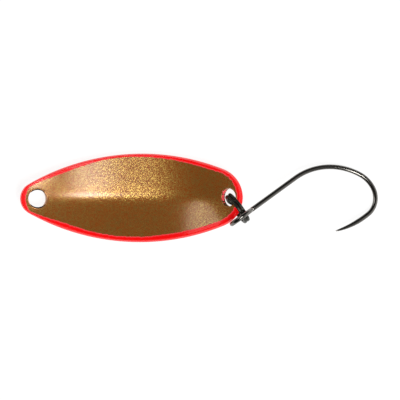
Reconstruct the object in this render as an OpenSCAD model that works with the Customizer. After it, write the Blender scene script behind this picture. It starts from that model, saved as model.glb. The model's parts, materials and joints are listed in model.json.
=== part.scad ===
// Trout spoon lure: a stamped and painted blade, a split ring and a barbless single hook.
// Millimetres. +X runs from the nose to the tail and +Z is up, with the hollow face of the
// blade upwards. The origin is the middle of the line hole, half way through the sheet.

/* [Blade] */
// Length of the blade from nose to tail
blade_length = 29; // [28:0.25:30]
// Greatest width of the blade
blade_width = 11.6; // [11:0.1:12]
// Distance from the nose to the widest place
widest_at = 15.75; // [15:0.25:16.5]
// Radius of the rounded nose
nose_radius = 2.2; // [2.1:0.05:2.4]
// Radius of the rounded tail
tail_radius = 4; // [3.7:0.1:4.1]
// Thickness of the brass sheet
sheet = 0.65; // [0.5:0.05:0.7]
// Slope of the nose
nose_slope = 16; // [12:1:17]
// Slope of the tail
tail_slope = 38; // [36:1:39]
// How late the nose turns up, from 2 for a plain parabola
nose_lateness = 2.5; // [2:0.1:2.8]
// How late the tail turns up, from 2 for a plain parabola
tail_lateness = 2.8; // [2.6:0.1:3]
// Slope of the two flanks that meet in the keel
flank_slope = 19; // [12:1:20]
// Radius of the crease along the keel
crease_radius = 1.3; // [0.9:0.1:1.5]

/* [Paint] */
// Thickness of the paint on the two faces
coat = 0.05; // [0.03:0.01:0.08]
// Thickness of the paint on the edge
edge_coat_depth = 0.08; // [0.05:0.01:0.12]
// Width of the edge paint where it laps over the faces
edge_lap = 0.38; // [0.2:0.02:0.5]

/* [Holes] */
// Diameter of the line hole in the nose
line_hole_d = 2.5; // [2.2:0.05:2.5]
// Diameter of the ring hole in the tail
ring_hole_d = 2.4; // [2.35:0.05:2.45]
// Distance between the two holes, seen from above
hole_spacing = 25.15; // [25:0.05:25.2]

/* [Split ring] */
// Outer diameter of the split ring
ring_d = 4.4; // [4.3:0.05:4.45]
// Width of one turn of its wire along the ring's axis
ring_wire_w = 0.4; // [0.36:0.01:0.41]
// Thickness of its wire across the ring
ring_wire_t = 0.44; // [0.38:0.02:0.46]
// Direction of the ring from the tail hole, seen from above
ring_heading = -54; // [-56:1:-52]
// Lean of the ring out of the upright
ring_lean = 8; // [6:1:9]

/* [Hook] */
// Diameter of the hook wire
hook_wire = 0.62; // [0.56:0.02:0.64]
// Outer diameter of the eye
eye_d = 3.6; // [3.5:0.05:3.7]
// Length of the straight shank from the middle of the eye
shank = 9.1; // [8.5:0.1:10]
// Length of the needle point
point_length = 3.4; // [3:0.1:4]
// Direction of the shank, seen from above
hook_heading = 35.6; // [34:0.2:37]

/* [Hidden] */

// Blade: the outline is four tangent arcs, and each of its points has the way inwards to the keel.
depth = sheet + 2 * coat;
half_width = blade_width / 2;
widest_x = widest_at - nose_radius;
tail_x = blade_length - nose_radius - tail_radius;
nose_steps = 6;
front_steps = 12;
rear_steps = 9;
tail_steps = 6;
rows_inside = 6;
keel_strip = 0.25;
flank_start = -4;
flank_run = 7;
flank_end = 27.5;
flank_fade = 5.5;
flat_nose_x = 2;
flat_tail_x = 24.4;
bore_length = 4;
bore_sides = 64;

// Split ring: two turns of wire, less the crank where the wire crosses from one turn to the other.
// The wire starts under the tail hole, comes up through it and runs out over the top.
ring_pitch = ring_wire_w + 0.02;
ring_crank = 35;
ring_turns_deg = 2 * 360 - ring_crank;
ring_step = 9;
ring_start = 225;
ring_flare = 0.16;
ring_flare_deg = 60;
ring_corner = 0.1;
ring_centre = [26.06, -1.42];
ring_drop = 0.1;

// Hook: an eye bent at right angles to the bend, then a shank and four tangent arcs of [radius, turn].
hook_bends = [[8.4, 62.8], [3.97, 36.3], [2.83, 77.7], [12.7, 23.1]];
hook_r = hook_wire / 2;
hook_sides = 12;
eye_r = (eye_d - hook_wire) / 2;
neck_r = 1;
eye_free_end = 17;
eye_step = 12;
neck_step = 8;
bend_step = 5;
tip_r = 0.02;
point_power = 0.45;
eye_centre = [26.55, -2.585];
ring_reach = 1.54;

// Radius of the arc that is level at the widest place and runs into an end arc of radius r,
// where the end is a distance reach away.
function side_radius(reach, r) = (pow(reach - r, 2) + pow(half_width, 2) - r * r) / (blade_width - 2 * r);
front_r = side_radius(widest_at, nose_radius);
rear_r = side_radius(blade_length - widest_at, tail_radius);
nose_angle = atan2(front_r - half_width, widest_x);
tail_angle = atan2(rear_r - half_width, tail_x - widest_x);

// One half of the outline, nose to tail: [point, outward direction, distance inwards to the keel].
function cap_ray(x, r, a) = [[x + r * cos(a), r * sin(a)], [cos(a), sin(a)], r];
function side_ray(r, a) = [
    [widest_x + r * cos(a), half_width - r + r * sin(a)],
    [cos(a), sin(a)],
    r - (r - half_width) / sin(a)
];
half_rays = [
    for (i = [0 : nose_steps - 1]) cap_ray(0, nose_radius, 180 - nose_angle * i / nose_steps),
    for (i = [0 : front_steps - 1]) side_ray(front_r, 180 - nose_angle - (90 - nose_angle) * i / front_steps),
    for (i = [0 : rear_steps - 1]) side_ray(rear_r, 90 - (90 - tail_angle) * i / rear_steps),
    for (i = [0 : tail_steps]) cap_ray(tail_x, tail_radius, tail_angle * (1 - i / tail_steps))
];
last = len(half_rays) - 1;
count = 2 * last;
function ray(i) = i <= last ? half_rays[i] : mirror_ray(half_rays[count - i]);
function mirror_ray(r) = [[r[0][0], -r[0][1]], [r[1][0], -r[1][1]], r[2]];

// Height of the outer face: a keel that turns up at both ends, and flanks that rise from it.
function turn_up(d, run, slope, power) =
    d < run ? tan(slope) * run / power * pow(d / run, power) : tan(slope) * (run / power + d - run);
function keel(x) = x < widest_x
    ? turn_up(widest_x - x, widest_x - flat_nose_x, nose_slope, nose_lateness)
    : turn_up(x - widest_x, flat_tail_x - widest_x, tail_slope, tail_lateness);
function ease(t) = t <= 0 ? 0 : t >= 1 ? 1 : t * t * (3 - 2 * t);
function flank(x) =
    tan(flank_slope) * ease((x - flank_start) / flank_run) * ease((flank_end - x) / flank_fade);
function lift(x, y) = keel(x) + flank(x) * (sqrt(y * y + crease_radius * crease_radius) - crease_radius);
floor_z = -keel(0) - depth / 2 / cos(nose_slope);
function outer(x, y) = [x, y, floor_z + lift(x, y)];
function unit(v) = v / norm(v);
nudge = 0.01;
function normal(x, y) = unit([
    lift(x - nudge, y) - lift(x + nudge, y),
    lift(x, y - nudge) - lift(x, y + nudge),
    2 * nudge
]);

// A point of the blade: at ray i, so far inwards from the outline and so high above the outer face.
function at(i, inset, height) =
    let (r = ray(i), p = r[0] - r[1] * inset)
    outer(p[0], p[1]) + normal(p[0], p[1]) * height;
function row_points(rows, k, height) = [
    for (i = [0 : count - 1])
        let (r = ray(i), span = r[2] - keel_strip)
        at(i, rows[k] < 1 ? rows[k] : edge_lap + (span - edge_lap) * (rows[k] - 1), height)
];

// Middle of the tail hole, half way through the sheet.
function hole_middle(x) = outer(x, 0) + normal(x, 0) * depth / 2;
ring_hole = hole_middle(hole_spacing + depth / 2 * sin(tail_slope));

// Quads between two loops of points, and the strip that closes the last loop over the keel.
function loop_quads(a, b, n) = [
    for (i = [0 : n - 1]) let (j = (i + 1) % n) each [[a + i, a + j, b + j], [a + i, b + j, b + i]]
];
function keel_strip_faces(a) = [
    [a, a + 1, a + count - 1],
    for (i = [1 : last - 2]) each [
        [a + i, a + i + 1, a + count - i - 1],
        [a + i, a + count - i - 1, a + count - i]
    ],
    [a + last - 1, a + last, a + last + 1]
];
function flipped(faces) = [for (f = faces) [f[2], f[1], f[0]]];

// A layer of the blade between two heights, closed over the keel. Row values under 1 are
// distances inwards from the outline, and from 1 up they are shares of the rest of the way.
module layer(rows, low, high) {
    n = len(rows);
    points = [
        for (k = [0 : n - 1]) each row_points(rows, k, high),
        for (k = [0 : n - 1]) each row_points(rows, k, low)
    ];
    top = [
        for (k = [0 : n - 2]) each loop_quads(k * count, (k + 1) * count, count),
        each keel_strip_faces((n - 1) * count)
    ];
    bottom = [for (f = top) [f[2] + n * count, f[1] + n * count, f[0] + n * count]];
    polyhedron(points, concat(top, bottom, flipped(loop_quads(0, n * count, count))), convexity = 6);
}

// Drills both holes through the blade's layers, each square to the sheet.
module drilled() {
    difference() {
        children();
        rotate([0, nose_slope, 0]) cylinder(d = line_hole_d, h = bore_length, center = true, $fn = bore_sides);
        translate(ring_hole) rotate([0, -tail_slope, 0])
            cylinder(d = ring_hole_d, h = bore_length, center = true, $fn = bore_sides);
    }
}

face_rows = [for (k = [0 : rows_inside]) 1 + k / rows_inside];

module blade_blank() {
    color("goldenrod") drilled() layer(concat([edge_coat_depth], face_rows), coat, coat + sheet);
}

module face_coat() {
    color("saddlebrown") drilled() layer(face_rows, coat + sheet, depth);
}

module back_coat() {
    color("peru") drilled() layer(face_rows, 0, coat);
}

// The edge paint is a channel round the rim, with a short lap over each face.
module edge_coat() {
    channel = [
        [0, 0], [0, depth],
        [edge_lap, depth], [edge_lap, depth - coat],
        [edge_coat_depth, depth - coat], [edge_coat_depth, coat],
        [edge_lap, coat], [edge_lap, 0]
    ];
    n = len(channel);
    points = [for (c = channel) for (i = [0 : count - 1]) at(i, c[0], c[1])];
    faces = [
        for (k = [0 : n - 1])
            let (j = (k + 1) % n, outwards = channel[j][0] < channel[k][0])
            each outwards
                ? flipped(loop_quads(j * count, k * count, count))
                : loop_quads(k * count, j * count, count)
    ];
    color("crimson") polyhedron(points, faces, convexity = 6);
}

// A solid through equal loops of points that turn anticlockwise about its course, with flat ends.
module loft(loops) {
    n = len(loops[0]);
    m = len(loops);
    sides = [for (k = [0 : m - 2]) each loop_quads(k * n, (k + 1) * n, n)];
    ends = [[for (i = [0 : n - 1]) i], [for (i = [n - 1 : -1 : 0]) (m - 1) * n + i]];
    polyhedron([for (l = loops) each l], concat(flipped(sides), ends), convexity = 8);
}

// The wire's place along the ring's axis: one turn, the crank, the other turn. Its first end stands off.
function ring_axial(a) =
    ring_pitch * (ease((a - 360 + ring_crank) / ring_crank) - 0.5)
    - ring_flare * (1 - ease(a / ring_flare_deg));
function ring_section(a) =
    let (
        t = ring_wire_t / 2,
        w = ring_wire_w / 2,
        c = ring_corner,
        corners = [
            [t, w - c], [t, c - w], [t - c, -w], [c - t, -w],
            [-t, c - w], [-t, w - c], [c - t, w], [t - c, w]
        ]
    )
    [for (q = corners)
        let (r = ring_d / 2 - t + q[0])
        [r * cos(ring_start - a), r * sin(ring_start - a), ring_axial(a) + q[1]]
    ];

// The ring stands upright through the tail hole, leans a little and reaches out over the rim.
module split_ring() {
    color("darkslategray")
        translate([ring_centre[0], ring_centre[1], ring_hole[2] - ring_drop])
        rotate([0, 0, ring_heading])
        rotate([90 - ring_lean, 0, 0])
        loft([for (a = [ring_turns_deg : -ring_step : 0]) ring_section(a)]);
}

// A ring of points round the wire at p, in the plane of the directions u and v.
function wire_loop(p, u, v, r) = [
    for (i = [0 : hook_sides - 1]) p + r * (u * cos(i * 360 / hook_sides) + v * sin(i * 360 / hook_sides))
];
// The eye stands on edge: it runs round in the XZ plane, and its neck turns it into the shank along +X.
neck_x = sqrt(pow(eye_r + neck_r, 2) - neck_r * neck_r);
neck_angle = atan2(neck_r, neck_x);
eye_middle = [eye_centre[0], eye_centre[1], ring_hole[2] - ring_drop + ring_reach];
function eye_loop(a) = wire_loop(
    [eye_r * cos(a), 0, eye_r * sin(a)], [0, 1, 0], [-cos(a), 0, -sin(a)], hook_r
);
function neck_loop(a) = wire_loop(
    [neck_x - neck_r * sin(a), 0, neck_r * cos(a) - neck_r], [0, 1, 0], [-sin(a), 0, cos(a)], hook_r
);
// A place on a bend: how far round arc k, from the start of the hook's shank.
function bend_start(k) = k == 0
    ? [[shank, 0], 0]
    : let (s = bend_start(k - 1), b = hook_bends[k - 1]) [arc_point(s, b[0], b[1]), s[1] - b[1]];
function arc_point(s, r, turn) = s[0] + r * [
    sin(s[1]) - sin(s[1] - turn),
    cos(s[1] - turn) - cos(s[1])
];
bend_length = [for (b = hook_bends) b[0] * b[1] * PI / 180];
function length_after(k) = k == len(hook_bends) ? 0 : bend_length[k] + length_after(k + 1);
function point_radius(left) = max(tip_r, hook_r * pow(min(1, left / point_length), point_power));
function bend_loop(k, turn) =
    let (
        s = bend_start(k),
        p = arc_point(s, hook_bends[k][0], turn),
        a = s[1] - turn,
        left = length_after(k) - hook_bends[k][0] * turn * PI / 180
    )
    wire_loop([p[0], p[1], 0], [-sin(a), cos(a), 0], [0, 0, 1], point_radius(left));

// How far the bend reaches from the middle of the eye, and the slope that lays it level with the keel.
bend_reach = max([for (turn = [0 : bend_step : hook_bends[1][1]])
    arc_point(bend_start(1), hook_bends[1][0], turn)[0]]);
hook_slope = asin((eye_middle[2] - hook_r - floor_z) / bend_reach);

// The hook hangs from the ring by its eye, and its bend rests at the height of the keel.
module hook() {
    eye_turn = 360 - neck_angle - eye_free_end;
    eye_steps = ceil(eye_turn / eye_step);
    loops = concat(
        [for (i = [0 : eye_steps]) eye_loop(eye_free_end + eye_turn * i / eye_steps)],
        [for (a = [90 - neck_angle - neck_step : -neck_step : neck_step]) neck_loop(a)],
        [wire_loop([neck_x, 0, 0], [0, 1, 0], [0, 0, 1], hook_r)],
        [for (k = [0 : len(hook_bends) - 1])
            let (turn = hook_bends[k][1], steps = ceil(turn / bend_step))
            for (i = [0 : steps - 1]) bend_loop(k, turn * i / steps)],
        [bend_loop(len(hook_bends) - 1, hook_bends[len(hook_bends) - 1][1])]
    );
    color("dimgray")
        translate(eye_middle)
        rotate([0, 0, hook_heading])
        rotate([0, hook_slope, 0])
        loft(loops);
}

blade_blank();
face_coat();
back_coat();
edge_coat();
split_ring();
hook();
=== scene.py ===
"""Looks of a trout spoon lure: a painted blade, a split ring and a single hook, round their CAD frame.

Shapes are worked out in millimetres in the frame's axes (+X from the nose to the tail, +Z up) and
turned into metres when a mesh is made.
"""
import json
import math

import bpy
import numpy as np
from mathutils import Matrix, Vector, noise


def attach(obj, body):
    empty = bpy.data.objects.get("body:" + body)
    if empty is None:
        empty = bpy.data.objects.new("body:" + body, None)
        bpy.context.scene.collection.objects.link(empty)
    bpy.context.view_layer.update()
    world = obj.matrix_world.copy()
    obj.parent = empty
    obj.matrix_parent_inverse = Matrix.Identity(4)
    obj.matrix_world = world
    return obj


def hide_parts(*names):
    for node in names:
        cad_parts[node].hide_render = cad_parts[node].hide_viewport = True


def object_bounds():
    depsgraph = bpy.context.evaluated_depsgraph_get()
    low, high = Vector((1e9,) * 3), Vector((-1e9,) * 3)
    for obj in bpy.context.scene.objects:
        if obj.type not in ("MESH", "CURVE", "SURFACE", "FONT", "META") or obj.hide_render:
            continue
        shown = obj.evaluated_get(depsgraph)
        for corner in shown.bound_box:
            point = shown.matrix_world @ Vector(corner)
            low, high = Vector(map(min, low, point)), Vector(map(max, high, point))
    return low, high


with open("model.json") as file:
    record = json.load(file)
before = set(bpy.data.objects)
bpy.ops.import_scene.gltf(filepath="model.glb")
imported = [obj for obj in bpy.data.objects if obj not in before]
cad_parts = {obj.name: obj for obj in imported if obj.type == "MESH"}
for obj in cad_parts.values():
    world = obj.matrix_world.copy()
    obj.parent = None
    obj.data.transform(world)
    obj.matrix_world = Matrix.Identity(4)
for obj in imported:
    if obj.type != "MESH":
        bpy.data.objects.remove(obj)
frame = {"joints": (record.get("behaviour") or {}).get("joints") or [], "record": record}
cad_low, cad_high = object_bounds()

MM = 0.001
MOUNT = {m["name"]: m for m in frame["record"]["mounts"]}
JOINT = {j["name"]: j for j in frame["joints"]}

# Blade
BLADE_LENGTH = 29.0
BLADE_WIDTH = 11.6
WIDEST_AT = 15.75
NOSE_RADIUS = 2.2
TAIL_RADIUS = 4.0
COAT = 0.05
DEPTH = 0.75
NOSE_SLOPE = math.radians(16)
NOSE_LATENESS = 2.5
TAIL_SLOPE = math.radians(38)
TAIL_LATENESS = 2.8
FLANK_SLOPE = math.radians(19)
CREASE_RADIUS = 1.3
FLAT_NOSE_X = 2.0
FLAT_TAIL_X = 24.4
FLANK_START, FLANK_RUN = -4.0, 7.0
FLANK_END, FLANK_FADE = 27.5, 5.5
LINE_HOLE_RADIUS = MOUNT["line_hole"]["dims"]["r_mm"]
RING_HOLE_RADIUS = 1.2

HALF_WIDTH = BLADE_WIDTH / 2
WIDEST_X = WIDEST_AT - NOSE_RADIUS
TAIL_X = BLADE_LENGTH - NOSE_RADIUS - TAIL_RADIUS


def side_radius(reach, r):
    """Radius of the side arc that is level at the widest place and runs into an end arc of radius r."""
    return ((reach - r) ** 2 + HALF_WIDTH ** 2 - r * r) / (BLADE_WIDTH - 2 * r)


FRONT_RADIUS = side_radius(WIDEST_AT, NOSE_RADIUS)
REAR_RADIUS = side_radius(BLADE_LENGTH - WIDEST_AT, TAIL_RADIUS)
NOSE_ANGLE = math.atan2(FRONT_RADIUS - HALF_WIDTH, WIDEST_X)
TAIL_ANGLE = math.atan2(REAR_RADIUS - HALF_WIDTH, TAIL_X - WIDEST_X)


def half_width_at(x, inset):
    """Half the width at x of the outline drawn in by an inset. The outline is four tangent arcs."""
    nose, tail = NOSE_RADIUS - inset, TAIL_RADIUS - inset
    front = HALF_WIDTH - FRONT_RADIUS + np.sqrt((FRONT_RADIUS - inset) ** 2 - (x - WIDEST_X) ** 2)
    rear = HALF_WIDTH - REAR_RADIUS + np.sqrt((REAR_RADIUS - inset) ** 2 - (x - WIDEST_X) ** 2)
    nose_cap = np.sqrt(np.maximum(nose ** 2 - x ** 2, 0))
    tail_cap = np.sqrt(np.maximum(tail ** 2 - (x - TAIL_X) ** 2, 0))
    on_nose = x < -nose * math.cos(NOSE_ANGLE)
    on_tail = x > TAIL_X + tail * math.cos(TAIL_ANGLE)
    return np.select([on_nose, on_tail, x < WIDEST_X], [nose_cap, tail_cap, front], rear)


def turn_up(d, run, slope, power):
    """Rise of a keel that turns up along a power curve and goes on straight."""
    curve = math.tan(slope) * run / power * np.power(np.clip(d, 0, run) / run, power)
    return curve + math.tan(slope) * np.maximum(d - run, 0)


def keel(x):
    """Height of the middle of the outer face, which turns up at the nose and more steeply at the tail."""
    nose = turn_up(WIDEST_X - x, WIDEST_X - FLAT_NOSE_X, NOSE_SLOPE, NOSE_LATENESS)
    tail = turn_up(x - WIDEST_X, FLAT_TAIL_X - WIDEST_X, TAIL_SLOPE, TAIL_LATENESS)
    return nose + tail


def ease(t):
    """A smooth step from 0 to 1."""
    t = np.clip(t, 0, 1)
    return t * t * (3 - 2 * t)


def flank(x):
    """Slope of the flanks, which fades out towards the nose and the tail."""
    return math.tan(FLANK_SLOPE) * ease((x - FLANK_START) / FLANK_RUN) * ease((FLANK_END - x) / FLANK_FADE)


def lift(x, y):
    """Height of the outer face over its lowest place."""
    return keel(x) + flank(x) * (np.sqrt(y * y + CREASE_RADIUS ** 2) - CREASE_RADIUS)


FLOOR_Z = float(-keel(np.array(0.0)) - DEPTH / 2 / math.cos(NOSE_SLOPE))
NUDGE = 0.01


def normals_at(x, y):
    """Directions square to the outer face."""
    dx = (lift(x - NUDGE, y) - lift(x + NUDGE, y)) / (2 * NUDGE)
    dy = (lift(x, y - NUDGE) - lift(x, y + NUDGE)) / (2 * NUDGE)
    n = np.stack([dx, dy, np.ones_like(dx)], -1)
    return n / np.linalg.norm(n, axis=-1, keepdims=True)


def on_blade(x, y, height):
    """Points so high above the outer face, measured square to it."""
    return np.stack([x, y, FLOOR_Z + lift(x, y)], -1) + normals_at(x, y) * np.asarray(height)[..., None]


def outline(steps_per_mm):
    """Points of the outline all the way round, anticlockwise from the nose, and their outward directions."""
    def arc(centre, radius, first, final):
        count = max(2, round(abs(final - first) * radius * steps_per_mm))
        a = np.linspace(first, final, count, endpoint=False)
        way = np.stack([np.cos(a), np.sin(a)], -1)
        return np.array(centre) + radius * way, way

    nose, tail = math.pi - NOSE_ANGLE, TAIL_ANGLE
    arcs = [
        arc((0, 0), NOSE_RADIUS, -math.pi, -nose),
        arc((WIDEST_X, FRONT_RADIUS - HALF_WIDTH), FRONT_RADIUS, -nose, -math.pi / 2),
        arc((WIDEST_X, REAR_RADIUS - HALF_WIDTH), REAR_RADIUS, -math.pi / 2, -tail),
        arc((TAIL_X, 0), TAIL_RADIUS, -tail, tail),
        arc((WIDEST_X, HALF_WIDTH - REAR_RADIUS), REAR_RADIUS, tail, math.pi / 2),
        arc((WIDEST_X, HALF_WIDTH - FRONT_RADIUS), FRONT_RADIUS, math.pi / 2, nose),
        arc((0, 0), NOSE_RADIUS, nose, math.pi),
    ]
    return np.concatenate([a[0] for a in arcs]), np.concatenate([a[1] for a in arcs])


# Meshes

def make_mesh(name, points, faces, sharp_angle=40, scale=MM):
    """A smooth-shaded object from points in millimetres, with hard edges only where faces fold sharply."""
    mesh = bpy.data.meshes.new(name)
    mesh.from_pydata((np.asarray(points) * scale).tolist(), [], [list(map(int, f)) for f in faces])
    mesh.validate()
    mesh.update()
    mesh.shade_smooth()
    mesh.set_sharp_from_angle(angle=math.radians(sharp_angle))
    made = bpy.data.objects.new(name, mesh)
    bpy.context.scene.collection.objects.link(made)
    return made


def grid_faces(rows, columns, start=0, wrap_rows=False, wrap_columns=False):
    """Quads of a grid whose points are stored row by row."""
    r = np.arange(rows if wrap_rows else rows - 1)
    c = np.arange(columns if wrap_columns else columns - 1)
    r, c = np.meshgrid(r, c, indexing="ij")
    r2, c2 = (r + 1) % rows, (c + 1) % columns
    corners = [r * columns + c, r2 * columns + c, r2 * columns + c2, r * columns + c2]
    return start + np.stack(corners, -1).reshape(-1, 4)


def tube_faces(rings, sides, start=0):
    """Quads of a tube of rings that turn anticlockwise about its course, with both its ends closed."""
    quads = grid_faces(rings, sides, start, wrap_columns=True)[:, ::-1].tolist()
    first = [start + i for i in range(sides)][::-1]
    final = [start + (rings - 1) * sides + i for i in range(sides)]
    return quads + [first, final]


def cut_by(target, cutters, sharp_angle=30):
    """Cuts the cutters out of the target, all made in millimetres, and turns what is left into metres."""
    for cutter in cutters:
        cut = target.modifiers.new("cut", "BOOLEAN")
        cut.operation = "DIFFERENCE"
        cut.solver = "MANIFOLD"
        cut.object = cutter
    graph = bpy.context.evaluated_depsgraph_get()
    mesh = bpy.data.meshes.new_from_object(target.evaluated_get(graph))
    target.modifiers.clear()
    target.data = mesh
    mesh.materials.clear()
    mesh.transform(Matrix.Scale(MM, 4))
    mesh.shade_smooth()
    mesh.set_sharp_from_angle(angle=math.radians(sharp_angle))
    for cutter in cutters:
        bpy.data.objects.remove(cutter)


def joined(name, parts):
    """One object that holds the meshes of several, with their materials."""
    with bpy.context.temp_override(active_object=parts[0], selected_editable_objects=parts):
        bpy.ops.object.join()
    parts[0].name = name
    parts[0].data.name = name
    return parts[0]


# Materials

def node(tree, kind, inputs=(), **settings):
    """A node with its settings, and its inputs given as {socket: value or another node's output}."""
    made = tree.nodes.new("ShaderNode" + kind)
    for key, value in settings.items():
        setattr(made, key, value)
    for key, value in dict(inputs).items():
        if isinstance(value, bpy.types.NodeSocket):
            tree.links.new(value, made.inputs[key])
        else:
            made.inputs[key].default_value = value
    return made


def new_material(name, **values):
    """A material with a Principled shader and the values of its sockets."""
    made = bpy.data.materials.new(name)
    made.use_nodes = True
    shader = made.node_tree.nodes["Principled BSDF"]
    for key, value in values.items():
        shader.inputs[key.replace("_", " ")].default_value = value
    return made, made.node_tree, shader


def colour(r, g, b):
    return (r, g, b, 1.0)


def places(tree):
    """The object's own coordinates, which stay with it when it moves."""
    return node(tree, "TexCoord").outputs["Object"]


def noise_at(tree, size, detail=2.0, roughness=0.5):
    """Noise whose blotches are about that size, in millimetres."""
    inputs = {"Vector": places(tree), "Scale": 1 / (size * MM), "Detail": detail, "Roughness": roughness}
    return node(tree, "TexNoise", inputs)


def cells_at(tree, size):
    """Random cells of about that size, in millimetres."""
    return node(tree, "TexVoronoi", {"Vector": places(tree), "Scale": 1 / (size * MM)})


def steps(tree, value, low, high, to_low=0.0, to_high=1.0):
    """A value spread from one range to another, and held at its ends."""
    inputs = {0: value, 1: low, 2: high, 3: to_low, 4: to_high}
    return node(tree, "MapRange", inputs).outputs[0]


def mixed(tree, factor, a, b):
    """A mix of two colours."""
    made = node(tree, "Mix", data_type="RGBA")
    for socket, value in ((0, factor), (6, a), (7, b)):
        if isinstance(value, bpy.types.NodeSocket):
            tree.links.new(value, made.inputs[socket])
        else:
            made.inputs[socket].default_value = value
    return made.outputs[2]


def maths(tree, operation, a, b):
    return node(tree, "Math", {0: a, 1: b}, operation=operation).outputs[0]


def tilted(tree, cells, amount):
    """The surface's normal, tipped a different way in each cell."""
    centred = node(tree, "VectorMath", {0: cells.outputs["Color"], 1: (0.5, 0.5, 0.5)}, operation="SUBTRACT")
    scaled = node(tree, "VectorMath", {0: centred.outputs[0], "Scale": amount}, operation="SCALE")
    normal = node(tree, "NewGeometry").outputs["Normal"]
    added = node(tree, "VectorMath", {0: normal, 1: scaled.outputs[0]}, operation="ADD")
    return node(tree, "VectorMath", {0: added.outputs[0]}, operation="NORMALIZE").outputs[0]


def bump(tree, height, strength, distance):
    """A bump whose full height is that distance, in millimetres."""
    inputs = {"Height": height, "Strength": strength, "Distance": distance * MM}
    return node(tree, "Bump", inputs).outputs["Normal"]


FLAKE_GROUND = colour(0.38, 0.062, 0.0)
FLAKE_GOLD = colour(0.62, 0.45, 0.1)
FLAKE_DULL_GOLD = tuple(c * 0.75 for c in FLAKE_GOLD[:3]) + (1.0,)
FLAKE_SIZE = 0.07
FINE_FLAKE_SIZE = FLAKE_SIZE * 0.45
FLAKE_SHARE = 0.48
FLAKE_TILT = 0.17


def flake_paint(name):
    """Lacquer over metal flakes that lie at slightly different angles in a dark ground coat."""
    made, tree, shader = new_material(name, Coat_Weight=1.0, Coat_Roughness=0.24, Specular_IOR_Level=0.1)
    cells = cells_at(tree, FLAKE_SIZE)
    fine = cells_at(tree, FINE_FLAKE_SIZE)
    pick = node(tree, "SeparateColor", {0: cells.outputs["Color"]})
    pick_fine = node(tree, "SeparateColor", {0: fine.outputs["Color"]})
    big = steps(tree, pick.outputs[0], 1 - FLAKE_SHARE, 1 - FLAKE_SHARE * 0.6)
    small = steps(tree, pick_fine.outputs[0], 0.5, 0.8)
    flakes = maths(tree, "MULTIPLY", maths(tree, "ADD", big, small), 0.5)
    clouds = steps(tree, noise_at(tree, 2.5, 3).outputs[0], 0.3, 0.7, 0.85, 1.15)
    amount = maths(tree, "MULTIPLY", flakes, clouds)
    tint = mixed(tree, pick.outputs[1], FLAKE_GOLD, FLAKE_DULL_GOLD)
    tree.links.new(mixed(tree, amount, FLAKE_GROUND, tint), shader.inputs["Base Color"])
    tree.links.new(steps(tree, amount, 0, 1, 0.1, 0.9), shader.inputs["Metallic"])
    tree.links.new(steps(tree, pick.outputs[2], 0, 1, 0.32, 0.4), shader.inputs["Roughness"])
    tree.links.new(tilted(tree, cells, FLAKE_TILT), shader.inputs["Normal"])
    tree.links.new(bump(tree, noise_at(tree, 0.5).outputs[0], 0.4, 0.01), shader.inputs["Coat Normal"])
    return made


def edge_red():
    """Bright red dip paint, thin and speckled where it laps on to the faces, with a painted pink sheen where
    it is thin and a painted glow all over.
    """
    # The emission is a painted glow that brightens the red.
    made, tree, shader = new_material(
        "edge_red", Coat_Weight=0.3, Coat_Roughness=0.15, Specular_IOR_Level=0.15, Emission_Strength=0.4
    )
    lap = node(tree, "Attribute", attribute_name="from_border").outputs["Fac"]
    grain = noise_at(tree, 0.12, 3, 0.7).outputs[0]
    fine = noise_at(tree, 0.05, 2, 0.6).outputs[0]
    # Where the red is thin near its border it turns paler and pinker: a painted sheen of light on the lap.
    thin = steps(tree, maths(tree, "ADD", lap, maths(tree, "MULTIPLY", grain, 0.25)), 0.12, 0.42, 1.0, 0.0)
    red = mixed(tree, thin, colour(0.9, 0.002, 0.003), colour(0.92, 0.06, 0.08))
    speck = maths(tree, "MULTIPLY", thin, steps(tree, fine, 0.56, 0.66))
    tree.links.new(mixed(tree, speck, red, colour(0.95, 0.6, 0.58)), shader.inputs["Base Color"])
    tree.links.new(red, shader.inputs["Emission Color"])
    tree.links.new(steps(tree, grain, 0.3, 0.7, 0.3, 0.5), shader.inputs["Roughness"])
    ripple = noise_at(tree, 0.35, 2).outputs[0]
    tree.links.new(bump(tree, ripple, 0.6, 0.03), shader.inputs["Normal"])
    return made


def blade_brass():
    """Bare brass sheet, finely rough and stained in blotches where the drill went through."""
    made, tree, shader = new_material("blade_brass", Metallic=1.0)
    stain = steps(tree, noise_at(tree, 0.3, 4, 0.6).outputs[0], 0.35, 0.65)
    metal = mixed(tree, stain, colour(0.62, 0.3, 0.12), colour(0.3, 0.13, 0.05))
    tree.links.new(metal, shader.inputs["Base Color"])
    tree.links.new(steps(tree, stain, 0, 1, 0.28, 0.5), shader.inputs["Roughness"])
    tree.links.new(bump(tree, noise_at(tree, 0.06, 3).outputs[0], 0.5, 0.006), shader.inputs["Normal"])
    return made


def hole_wall_shade():
    """Dark painted shade for the shaded wall just inside the line hole."""
    made, tree, shader = new_material("hole_wall_shade", Roughness=0.7, Specular_IOR_Level=0.1)
    tone = steps(tree, noise_at(tree, 0.1, 3).outputs[0], 0.35, 0.65)
    shade_tone = mixed(tree, tone, colour(0.05, 0.02, 0.01), colour(0.012, 0.006, 0.004))
    tree.links.new(shade_tone, shader.inputs["Base Color"])
    return made


def ring_steel():
    """Dark oxide finish on spring wire, dull and finely rough, with rubbed places."""
    made, tree, shader = new_material("ring_steel", Metallic=0.85)
    rubbed = steps(tree, noise_at(tree, 0.35, 4, 0.6).outputs[0], 0.45, 0.75)
    metal = mixed(tree, rubbed, colour(0.035, 0.036, 0.028), colour(0.085, 0.085, 0.07))
    tree.links.new(metal, shader.inputs["Base Color"])
    tree.links.new(steps(tree, rubbed, 0, 1, 0.46, 0.32), shader.inputs["Roughness"])
    tree.links.new(bump(tree, noise_at(tree, 0.05, 3).outputs[0], 0.5, 0.004), shader.inputs["Normal"])
    return made


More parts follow.
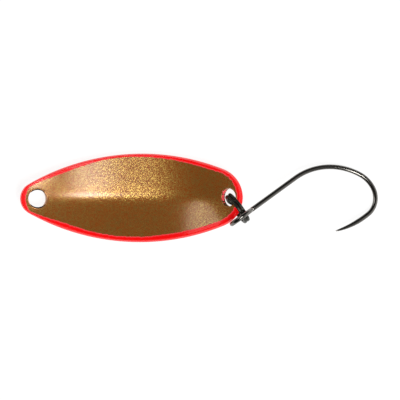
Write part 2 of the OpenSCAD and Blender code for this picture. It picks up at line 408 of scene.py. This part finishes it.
def hook_nickel():
    """Black nickel plate, glossy, with faint pits and cloudy patches."""
    made, tree, shader = new_material("hook_nickel", Metallic=1.0)
    pits = steps(tree, noise_at(tree, 0.25, 4, 0.6).outputs[0], 0.35, 0.7)
    metal = mixed(tree, pits, colour(0.2, 0.19, 0.175), colour(0.15, 0.143, 0.13))
    tree.links.new(metal, shader.inputs["Base Color"])
    tree.links.new(steps(tree, pits, 0, 1, 0.14, 0.26), shader.inputs["Roughness"])
    tree.links.new(bump(tree, noise_at(tree, 0.09, 3).outputs[0], 0.35, 0.004), shader.inputs["Normal"])
    return made


# Blade pieces

# How far inside the outline the brass and the flake paint end, under the red.
LAYER_INSET = 0.1
# Where each hole's middle is, how far the sheet slopes there, and the hole's radius.
HOLES = {
    "line": (Vector((0, 0, 0)), -NOSE_SLOPE, LINE_HOLE_RADIUS),
    "ring": (Vector(JOINT["ring_swing"]["pos_m"]) / MM, TAIL_SLOPE, RING_HOLE_RADIUS),
}


def hole_frame(hole):
    """Middle of a hole, two directions across it and its axis, all as arrays."""
    middle, slope, radius = HOLES[hole]
    axis = np.array([-math.sin(slope), 0, math.cos(slope)])
    along = np.array([math.cos(slope), 0, math.sin(slope)])
    return np.array(middle), along, np.array([0, 1.0, 0]), axis, radius


def hole_cutter(hole):
    """A plug of a hole's shape, longer than the sheet is thick."""
    reach, sides = 2, 144
    middle, along, across, axis, radius = hole_frame(hole)
    a = np.linspace(0, 2 * math.pi, sides, endpoint=False)
    ring = radius * (np.cos(a)[:, None] * along + np.sin(a)[:, None] * across)
    points = np.concatenate([middle + ring - reach * axis, middle + ring + reach * axis])
    return make_mesh("cutter", points, tube_faces(2, len(a)), scale=1)


def blade_layer(name, low, high):
    """A closed layer of the blade between two heights above the outer face, drilled through."""
    columns, rows = 320, 72
    end_trim = 0.06
    crowding = 0.55
    u = np.linspace(end_trim, math.pi - end_trim, columns)
    nose, tail = LAYER_INSET - NOSE_RADIUS, TAIL_X + TAIL_RADIUS - LAYER_INSET
    x = (nose + tail) / 2 - (tail - nose) / 2 * np.cos(u)
    v = np.linspace(-1, 1, rows)
    v = (1 - crowding) * v + crowding * v ** 3
    y = half_width_at(x, LAYER_INSET)[:, None] * v[None, :]
    x = np.broadcast_to(x[:, None], y.shape)
    top = on_blade(x, y, np.full(y.shape, high)).reshape(-1, 3)
    bottom = on_blade(x, y, np.full(y.shape, low)).reshape(-1, 3)
    upper = grid_faces(columns, rows)
    lower = grid_faces(columns, rows, len(top))[:, ::-1]
    index = np.arange(columns * rows).reshape(columns, rows)
    border = np.concatenate([index[:, 0], index[-1, 1:], index[-2::-1, -1], index[0, -2:0:-1]])
    after = np.roll(border, -1)
    wall = np.stack([border + len(top), after + len(top), after, border], -1)
    faces = np.concatenate([upper, lower, wall])
    made = make_mesh(name, np.concatenate([top, bottom]), faces, scale=1)
    cut_by(made, [hole_cutter("line"), hole_cutter("ring")])
    return made


def hole_lip(hole, name, height, radius, width, rise, first=0, final=360, wobble=0.0):
    """A bead round the edge of a hole, or round part of it, along the face at that height."""
    step_deg, sides, wobble_rate, settling_rounds = 2, 12, 14, 4
    middle, along, across, axis, _ = hole_frame(hole)
    whole = final - first == 360
    count = round((final - first) / step_deg)
    a = np.radians(np.linspace(first, final, count, endpoint=not whole))
    b = np.linspace(0, 2 * math.pi, sides, endpoint=False)
    points = []
    for angle in a:
        way = math.cos(angle) * along + math.sin(angle) * across
        spot = Vector((math.cos(angle) * wobble_rate, math.sin(angle) * wobble_rate, 3.0))
        place = middle + radius * way
        for _ in range(settling_rounds):
            target = on_blade(place[0], place[1], height)
            place = place + axis * ((target - place) @ axis)
        size = 1 + wobble * noise.noise(spot)
        if not whole:
            size *= math.sin(math.pi * (angle - a[0]) / (a[-1] - a[0])) ** 0.5 + 0.02
        points += [place + size * (width * math.cos(t) * way + rise * math.sin(t) * axis) for t in b]
    if whole:
        faces = grid_faces(count, sides, wrap_rows=True, wrap_columns=True)[:, ::-1].tolist()
    else:
        faces = tube_faces(count, sides)
    return make_mesh(name, points, faces, sharp_angle=60)


# How far the red laps on to the face: [x, on the +Y side, on the -Y side].
LAPS = np.array([
    [-2.2, 0.62, 0.62],
    [-1.1, 0.3, 0.22],
    [0.4, 0.32, 0.34],
    [2.0, 0.42, 0.52],
    [3.6, 0.46, 0.62],
    [6.8, 0.32, 0.55],
    [10.2, 0.14, 0.5],
    [13.6, 0.24, 0.56],
    [16.8, 0.34, 0.68],
    [20.0, 0.42, 0.66],
    [23.0, 0.42, 0.6],
    [25.5, 0.38, 0.62],
    [26.8, 0.4, 0.42],
])


def lap_at(x, y):
    """Width of the red on the face, with a ragged border that is lumpier at the tail."""
    plus = np.interp(x, LAPS[:, 0], LAPS[:, 1])
    minus = np.interp(x, LAPS[:, 0], LAPS[:, 2])
    width = np.where(y > 0, plus, minus)
    ragged = np.array([
        0.05 * noise.noise(Vector((a * 3.1, b * 3.1, 0.5)))
        + 0.05 * noise.noise(Vector((a * 8.3, b * 8.3, 4.5)))
        for a, b in zip(x, y)
    ])
    return np.maximum(width + ragged * (1 + ease((x - 22) / 4)), 0.05)


def rim_paint(red):
    """The red round the rim: a lap on each face that thins to its border, and a rounded rim."""
    rim, thick, sunk, back_lap = 0.12, 0.035, 0.012, 0.38
    at, way = outline(steps_per_mm=16)
    lap = lap_at(at[:, 0], at[:, 1])
    back = np.full(len(lap), back_lap) + 0.5 * (lap - lap.mean())
    across = np.linspace(0, 1, 9)[:-1]
    swell = (thick + sunk) * (1 - (1 - across) ** 4) - sunk
    turn = np.linspace(math.pi / 2, -math.pi / 2, 15)
    rows = []
    for s, h in zip(across, swell):
        rows.append((lap + (rim - lap) * s, DEPTH + h, lap * s))
    for t in turn:
        inset = rim - rim * abs(math.cos(t)) ** 0.5
        height = DEPTH / 2 + (DEPTH / 2 + thick) * math.copysign(abs(math.sin(t)) ** 0.7, math.sin(t))
        rows.append((np.full(len(lap), inset), height, np.full(len(lap), 1.0)))
    for s, h in zip(across[::-1], swell[::-1]):
        rows.append((back + (rim - back) * s, -h, back * s))
    # Each point keeps its distance from the red's border, and the rim counts as well inside it.
    points, border = [], []
    for inset, height, distance in rows:
        p = at - way * inset[:, None]
        points.append(on_blade(p[:, 0], p[:, 1], np.full(len(p), height)))
        border.append(distance)
    faces = grid_faces(len(rows), len(at), wrap_rows=True, wrap_columns=True)
    made = make_mesh("edge_paint", np.concatenate(points), faces, sharp_angle=60)
    shade = made.data.attributes.new("from_border", "FLOAT", "POINT")
    shade.data.foreach_set("value", np.concatenate(border).astype(np.float32))
    made.data.materials.append(red)
    return made


def hole_run(red):
    """Red that ran down part of the tail hole's wall. It is thin all over, like the lap's border, so it gets
    the same painted pink sheen.
    """
    first, final, wobble = 105, 225, 1.2
    radius = RING_HOLE_RADIUS + 0.035
    made = hole_lip("ring", "run", DEPTH / 2, radius, 0.05, DEPTH / 2, first, final, wobble)
    made.data.attributes.new("from_border", "FLOAT", "POINT")
    made.data.materials.append(red)
    return made


def on_body(piece, body, replaced):
    """Hangs a piece on its body, in place of the CAD node that it stands for."""
    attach(piece, body)
    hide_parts(replaced)


def face_paint():
    """The flake paint on the hollow face, with the bead it forms round the tail hole."""
    face = blade_layer("face_paint", DEPTH - COAT, DEPTH)
    lip = hole_lip("ring", "lip", DEPTH, RING_HOLE_RADIUS + 0.06, 0.09, 0.04)
    paint = flake_paint("bronze_flake")
    face.data.materials.append(paint)
    lip.data.materials.append(paint)
    on_body(joined("face_paint", [face, lip]), "blade", "face_coat")


def belly_paint():
    """The same flake paint on the outer face."""
    belly = blade_layer("belly_paint", 0, COAT)
    belly.data.materials.append(flake_paint("belly_flake"))
    on_body(belly, "blade", "back_coat")


def blade_metal():
    """The brass sheet, with a burr round the line hole and two dark arcs of painted shade inside its edge."""
    wobble = 0.2
    metal = blade_layer("blade_metal", COAT, DEPTH - COAT)
    burr = hole_lip("line", "burr", DEPTH, LINE_HOLE_RADIUS + 0.08, 0.09, 0.045)
    brass = blade_brass()
    metal.data.materials.append(brass)
    burr.data.materials.append(brass)
    painted_shade = hole_wall_shade()
    # Two near-black arcs at the line hole's upper and lower edges: painted shade where its wall is in shadow.
    shade_arcs = [
        hole_lip("line", "stain", DEPTH, LINE_HOLE_RADIUS - 0.01, 0.12, 0.05, first, final, wobble)
        for first, final in ((35, 140), (215, 320))
    ]
    for stain in shade_arcs:
        stain.data.materials.append(painted_shade)
    on_body(joined("blade_metal", [metal, burr, *shade_arcs]), "blade", "blade_blank")


def edge_paint():
    """All of the red: round the rim and on the tail hole's wall."""
    red = edge_red()
    on_body(joined("edge_paint", [rim_paint(red), hole_run(red)]), "blade", "edge_coat")


# Split ring

RING_D = 4.4
RING_WIRE_W = 0.4
RING_WIRE_T = 0.44
RING_PITCH = RING_WIRE_W + 0.02
RING_CRANK = 35
RING_START = 225
RING_FLARE, RING_FLARE_DEG = 0.16, 60
RING_CORNER = 0.15
RING_CORNER_STEPS = 5
RING_STATIONS = 300
RING_HEADING = math.radians(-54)
RING_LEAN = math.radians(8)
RING_CENTRE = (26.06, -1.42)
RING_DROP = 0.1


def split_ring():
    """Two turns of wire with rounded corners, a crank between them and a first end that stands off."""
    turns = 2 * 360 - RING_CRANK
    a = np.linspace(0, turns, RING_STATIONS)
    t, w, c = RING_WIRE_T / 2, RING_WIRE_W / 2, RING_CORNER
    section = []
    for sx, sy, start in ((1, 1, 0), (-1, 1, 90), (-1, -1, 180), (1, -1, 270)):
        for k in range(RING_CORNER_STEPS + 1):
            corner = math.radians(start + 90 / RING_CORNER_STEPS * k)
            section.append((sx * (t - c) + c * math.cos(corner), sy * (w - c) + c * math.sin(corner)))
    section = np.array(section)
    slack = ease((a - 360 + RING_CRANK) / RING_CRANK) - 0.5
    axial = RING_PITCH * slack - RING_FLARE * (1 - ease(a / RING_FLARE_DEG))
    points = []
    end_run = 4.0
    for angle, z in zip(a, axial):
        to_end = min(angle, turns - angle) / end_run
        shrink = 1 - 0.3 * (1 - min(to_end, 1)) ** 2
        turn = math.radians(RING_START - angle)
        for q in section:
            r = RING_D / 2 - t + q[0] * shrink
            points.append((r * math.cos(turn), r * math.sin(turn), z + q[1] * shrink))
    made = make_mesh("ring_wire", points, tube_faces(len(a), len(section)), sharp_angle=50)
    middle = Vector((*RING_CENTRE, HOLES["ring"][0].z - RING_DROP)) * MM
    place = Matrix.Translation(middle) @ Matrix.Rotation(RING_HEADING, 4, "Z")
    place @= Matrix.Rotation(math.pi / 2 - RING_LEAN, 4, "X")
    made.data.transform(place)
    made.data.materials.append(ring_steel())
    on_body(made, "ring", "split_ring")


# Hook

HOOK_R = 0.31
EYE_R = 1.8 - HOOK_R
NECK_R = 1.0
SHANK = 9.1
POINT_LENGTH = 3.4
POINT_POWER = 0.45
TIP_R = 0.012
HOOK_HEADING = math.radians(35.6)
HOOK_BENDS = ((8.4, 62.8), (3.97, 36.3), (2.83, 77.7), (12.7, 23.1))
EYE_FREE_END = 17
HOOK_SIDES = 32
CUT_END = 0.06


def hook_course():
    """The hook's centreline in its own frame: eye in the XZ plane, shank along +X, bends in XY."""
    bend_step = 0.12
    neck_x = math.sqrt((EYE_R + NECK_R) ** 2 - NECK_R ** 2)
    neck_angle = math.degrees(math.atan2(NECK_R, neck_x))
    course = []
    for a in np.radians(np.linspace(EYE_FREE_END, 360 - neck_angle, 120)):
        course.append((EYE_R * math.cos(a), 0, EYE_R * math.sin(a)))
    for a in np.radians(np.linspace(90 - neck_angle, 0, 22))[1:]:
        course.append((neck_x - NECK_R * math.sin(a), 0, NECK_R * math.cos(a) - NECK_R))
    for x in np.linspace(neck_x, SHANK, 30)[1:]:
        course.append((x, 0, 0))
    start, heading = np.array([SHANK, 0.0]), 0.0
    for radius, turn in HOOK_BENDS:
        turn = math.radians(turn)
        for part in np.linspace(0, turn, max(8, round(turn * radius / bend_step)))[1:]:
            end = start + radius * np.array([
                math.sin(heading) - math.sin(heading - part),
                math.cos(heading - part) - math.cos(heading),
            ])
            course.append((end[0], end[1], 0))
        start, heading = end, heading - turn
    return np.array(course)


def swept(course, radii, sides, across):
    """Points of a round tube along a course. across is the direction that its first ring is measured from."""
    forward = np.gradient(course, axis=0)
    forward /= np.linalg.norm(forward, axis=1, keepdims=True)
    a = np.linspace(0, 2 * math.pi, sides, endpoint=False)
    u = np.array(across, float)
    points = []
    for place, way, r in zip(course, forward, radii):
        u = u - way * (u @ way)
        u /= np.linalg.norm(u)
        v = np.cross(way, u)
        points.append(place + r * (np.cos(a)[:, None] * u + np.sin(a)[:, None] * v))
    return np.concatenate(points)


def hook():
    """Round wire that narrows to a needle point. The bend rests at the height of the keel."""
    course = hook_course()
    stretch = np.linalg.norm(np.diff(course, axis=0), axis=1)
    run = np.concatenate([[0], np.cumsum(stretch)])
    left = run[-1] - run
    radii = HOOK_R * np.power(np.minimum(1, left / POINT_LENGTH), POINT_POWER)
    radii = np.maximum(radii, TIP_R) * np.where(run < CUT_END, 0.8 + 0.2 * run / CUT_END, 1)
    points = swept(course, radii, HOOK_SIDES, (0, 1, 0))
    made = make_mesh("hook_wire", points, tube_faces(len(course), HOOK_SIDES), sharp_angle=50)
    eye = Vector(JOINT["hook_swing"]["pos_m"])
    reach = course[:, 0].max()
    slope = math.asin((eye.z / MM - HOOK_R - FLOOR_Z) / reach)
    place = Matrix.Translation(eye) @ Matrix.Rotation(HOOK_HEADING, 4, "Z") @ Matrix.Rotation(slope, 4, "Y")
    made.data.transform(place)
    made.data.materials.append(hook_nickel())
    on_body(made, "hook", "hook")


# Studio

VIEW_CENTRE = (0.02121, -0.00032)
VIEW_WIDTH = 0.052
VIEW_TURN = math.radians(0.36)
LENS = 600
SENSOR = 36
LIGHT_AIM = Vector((0.012, 0, 0))
LIGHT_DISTANCE = 0.5
SKY_DIM, SKY_BRIGHT, SKY_FOCUS = 0.03, 1.4, 4.0
SKY_SEEN = 0.95


def camera():
    """Straight above and far off, with a very long lens."""
    data = bpy.data.cameras.new("camera")
    data.lens = LENS
    data.sensor_width = SENSOR
    made = bpy.data.objects.new("camera", data)
    bpy.context.scene.collection.objects.link(made)
    made.location = (*VIEW_CENTRE, VIEW_WIDTH * LENS / SENSOR)
    made.rotation_euler = (0, 0, -VIEW_TURN)
    data.clip_start, data.clip_end = 0.01, 20
    bpy.context.scene.camera = made


def soft_light(name, tilt_x, tilt_y, size, power):
    """A square softbox that faces the lure from a direction tilted so many degrees towards +X and +Y."""
    data = bpy.data.lights.new(name, "AREA")
    data.size = size
    data.energy = power
    made = bpy.data.objects.new(name, data)
    bpy.context.scene.collection.objects.link(made)
    way = Vector((math.tan(math.radians(tilt_x)), math.tan(math.radians(tilt_y)), 1)).normalized()
    made.location = LIGHT_AIM + way * LIGHT_DISTANCE
    made.rotation_euler = way.to_track_quat("Z", "Y").to_euler()


def studio():
    """Three softboxes in a dim white room that brightens towards +X."""
    soft_light("key", 14, -34, 0.11, 0.37)
    soft_light("top", 14, -15, 0.12, 1.0)
    soft_light("fill", -49, 40, 0.22, 0.42)
    scene = bpy.context.scene
    scene.view_settings.view_transform = "Standard"
    world = bpy.data.worlds.new("world")
    world.use_nodes = True
    tree = world.node_tree
    way = node(tree, "SeparateXYZ", {0: node(tree, "TexCoord").outputs["Generated"]})
    towards = maths(tree, "POWER", maths(tree, "MAXIMUM", way.outputs["X"], 0.0), SKY_FOCUS)
    sky = steps(tree, towards, 0, 1, SKY_DIM, SKY_BRIGHT)
    seen = node(tree, "LightPath").outputs["Is Camera Ray"]
    strength = node(tree, "Mix", {0: seen, 2: sky, 3: SKY_SEEN}).outputs[0]
    back = tree.nodes["Background"]
    back.inputs["Color"].default_value = colour(1, 1, 1)
    tree.links.new(strength, back.inputs["Strength"])
    scene.world = world


def floor():
    """A plain pale table that the lure lies on."""
    size = 6000.0
    z = cad_low.z / MM
    corners = [(-size, -size, z), (size, -size, z), (size, size, z), (-size, size, z)]
    made = make_mesh("table", corners, [(0, 1, 2, 3)])
    grey, glow = colour(0.2, 0.2, 0.2), colour(1, 1, 1)
    white, _, _ = new_material(
        "table_white", Roughness=0.7, Base_Color=grey, Emission_Color=glow, Emission_Strength=0.9
    )
    made.data.materials.append(white)


camera()
studio()
floor()
face_paint()
belly_paint()
blade_metal()
edge_paint()
split_ring()
hook()
